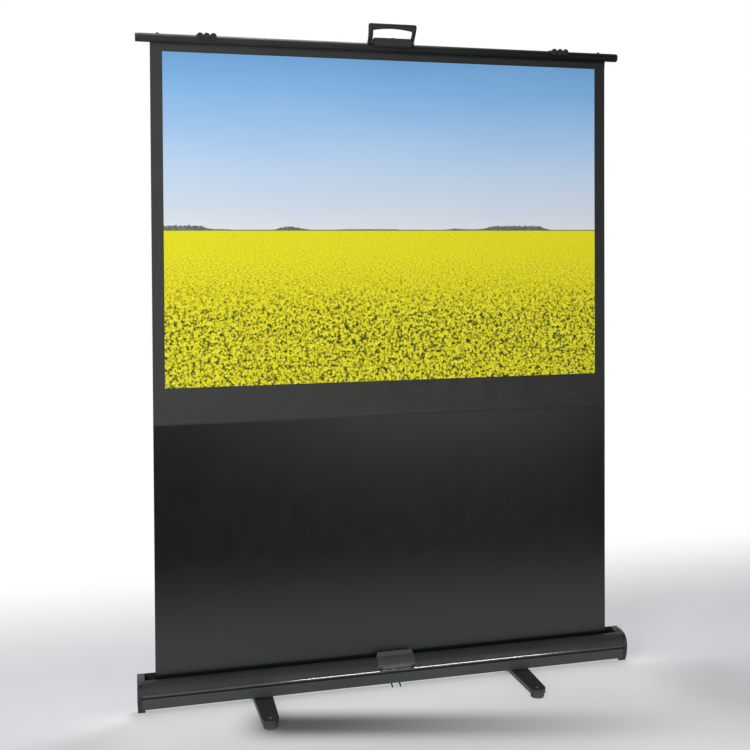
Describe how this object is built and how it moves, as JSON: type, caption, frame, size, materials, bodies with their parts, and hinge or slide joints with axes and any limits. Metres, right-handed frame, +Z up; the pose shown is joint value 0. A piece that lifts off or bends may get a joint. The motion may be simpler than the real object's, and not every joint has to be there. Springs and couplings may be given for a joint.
{
  "type": "pull up projection screen",
  "caption": "Floor standing projection screen on a black casing: a scissor lift behind raises a round top bar that draws the cloth off a sprung roller.",
  "frame": {"origin": "on the floor, under the middle of the casing", "axes": "+Z up, +X to the right and +Y away from someone who faces the picture"},
  "size_m": [1.376, 0.336, 1.8182],
  "materials": {
    "black_paint": "satin black powder coat on aluminium",
    "black_plastic": "fine grained black moulding",
    "grey_plastic": "plain grey moulding",
    "rubber": "matte black rubber",
    "black_cloth": "coated black cloth",
    "white_cloth": "matte white coated cloth with a black border",
    "aluminium": "mill finish",
    "zinc": "bright zinc plate",
    "nylon": "natural nylon"
  },
  "bodies": {
    "casing": {"casing_shell": "black_paint", "end_cap_left": "black_plastic", "end_cap_right": "black_plastic", "lower_pivot_bracket": "zinc", "lower_pivot_pin": "zinc", "lower_track": "zinc", "latch_lug_left": "black_paint", "latch_lug_right": "black_paint", "latch_pin": "zinc", "hanging_wire": "zinc", "foot_bolt_left": "zinc", "foot_bolt_right": "zinc", "screen_cloth": "white_cloth", "skirt_cloth": "black_cloth"},
    "arm_low_front": {"arm_low_front": "black_paint", "rivet_low_right": "zinc"},
    "arm_low_rear": {"arm_low_rear": "black_paint", "rivet_low_middle": "zinc", "rivet_low_left": "zinc", "glide_low": "nylon"},
    "arm_mid_rear": {"arm_mid_rear": "black_paint", "rivet_mid_middle": "zinc", "rivet_mid_left": "zinc"},
    "arm_mid_front": {"arm_mid_front": "black_paint", "rivet_mid_right": "zinc"},
    "arm_high_front": {"arm_high_front": "black_paint", "glide_high": "nylon"},
    "arm_high_rear": {"arm_high_rear": "black_paint", "rivet_high_middle": "zinc"},
    "top_bar": {"top_tube": "black_paint", "tube_plug_left": "black_plastic", "tube_plug_right": "black_plastic", "hem_batten": "black_paint", "saddle_left": "black_paint", "upper_rail": "black_paint", "top_pivot_pin": "zinc", "nub_left": "black_paint", "nub_right": "black_paint", "handle_base": "black_plastic", "handle_pin_left": "zinc", "handle_pin_right": "zinc"},
    "handle": {"handle_bail": "black_plastic"},
    "roller": {"roller_tube": "aluminium", "roller_wraps": "black_cloth", "roller_plug_left": "grey_plastic", "roller_plug_right": "grey_plastic"},
    "latch": {"latch_plate": "black_plastic"},
    "foot_left": {"foot_left": "black_paint"},
    "foot_right": {"foot_right": "black_paint"},
    "pad_left_front": {"pad_left_front": "rubber"},
    "pad_left_back": {"pad_left_back": "rubber"},
    "pad_right_front": {"pad_right_front": "rubber"},
    "pad_right_back": {"pad_right_back": "rubber"}
  },
  "joints": [
    {"name": "lift", "type": "hinge", "parent": "casing", "child": "arm_low_front", "pos_m": [-0.48631, 0.0204, 0.044], "axis": [0, 1, 0], "range_deg": [0, 29.33], "deforming": ["screen_cloth", "skirt_cloth"]},
    {"name": "low_cross", "type": "hinge", "parent": "arm_low_front", "child": "arm_low_rear", "pos_m": [0, 0.0204, 0.32682], "axis": [0, 1, 0], "range_deg": [-58.7, 0]},
    {"name": "low_right_pivot", "type": "hinge", "parent": "arm_low_front", "child": "arm_mid_rear", "pos_m": [0.48631, 0.0204, 0.60963], "axis": [0, 1, 0], "range_deg": [-58.7, 0]},
    {"name": "mid_cross", "type": "hinge", "parent": "arm_mid_rear", "child": "arm_mid_front", "pos_m": [0, 0.0204, 0.89245], "axis": [0, 1, 0], "range_deg": [0, 58.7]},
    {"name": "mid_left_pivot", "type": "hinge", "parent": "arm_mid_rear", "child": "arm_high_front", "pos_m": [-0.48631, 0.0204, 1.17527], "axis": [0, 1, 0], "range_deg": [0, 58.7]},
    {"name": "high_cross", "type": "hinge", "parent": "arm_high_front", "child": "arm_high_rear", "pos_m": [0, 0.0204, 1.45808], "axis": [0, 1, 0], "range_deg": [-58.7, 0]},
    {"name": "top_left_pivot", "type": "hinge", "parent": "arm_high_rear", "child": "top_bar", "pos_m": [-0.48631, 0.0204, 1.7409], "axis": [0, 1, 0], "range_deg": [0, 29.4]},
    {"name": "handle_fold", "type": "hinge", "parent": "top_bar", "child": "handle", "pos_m": [0, -0.00268, 1.77298], "axis": [1, 0, 0], "range_deg": [-40, 90]},
    {"name": "roller_spin", "type": "hinge", "parent": "casing", "child": "roller", "pos_m": [0, -0.0045, 0.066], "axis": [1, 0, 0], "continuous": true},
    {"name": "latch_release", "type": "hinge", "parent": "casing", "child": "latch", "pos_m": [0, -0.03885, 0.06894], "axis": [1, 0, 0], "range_deg": [0, 15], "stiffness_Nm_per_rad": 0.12, "springref_deg": -20.05},
    {"name": "foot_left_swivel", "type": "hinge", "parent": "casing", "child": "foot_left", "pos_m": [-0.36298, 0, 0.018], "axis": [0, 0, 1], "range_deg": [0, 90]},
    {"name": "foot_right_swivel", "type": "hinge", "parent": "casing", "child": "foot_right", "pos_m": [0.36298, 0, 0.018], "axis": [0, 0, 1], "range_deg": [-90, 0]},
    {"name": "pad_left_front_screw", "type": "hinge", "parent": "foot_left", "child": "pad_left_front", "pos_m": [-0.36298, -0.146, 0.004], "axis": [0, 0, 1], "continuous": true},
    {"name": "pad_left_back_screw", "type": "hinge", "parent": "foot_left", "child": "pad_left_back", "pos_m": [-0.36298, 0.146, 0.004], "axis": [0, 0, 1], "continuous": true},
    {"name": "pad_right_front_screw", "type": "hinge", "parent": "foot_right", "child": "pad_right_front", "pos_m": [0.36298, -0.146, 0.004], "axis": [0, 0, 1], "continuous": true},
    {"name": "pad_right_back_screw", "type": "hinge", "parent": "foot_right", "child": "pad_right_back", "pos_m": [0.36298, 0.146, 0.004], "axis": [0, 0, 1], "continuous": true}
  ],
  "couplings": [
    {"joint": "low_cross", "follows": "lift", "ratio": -2},
    {"joint": "low_right_pivot", "follows": "lift", "ratio": -2},
    {"joint": "mid_cross", "follows": "lift", "ratio": 2},
    {"joint": "mid_left_pivot", "follows": "lift", "ratio": 2},
    {"joint": "high_cross", "follows": "lift", "ratio": -2},
    {"joint": "top_left_pivot", "follows": "lift", "ratio": 1}
  ]
}
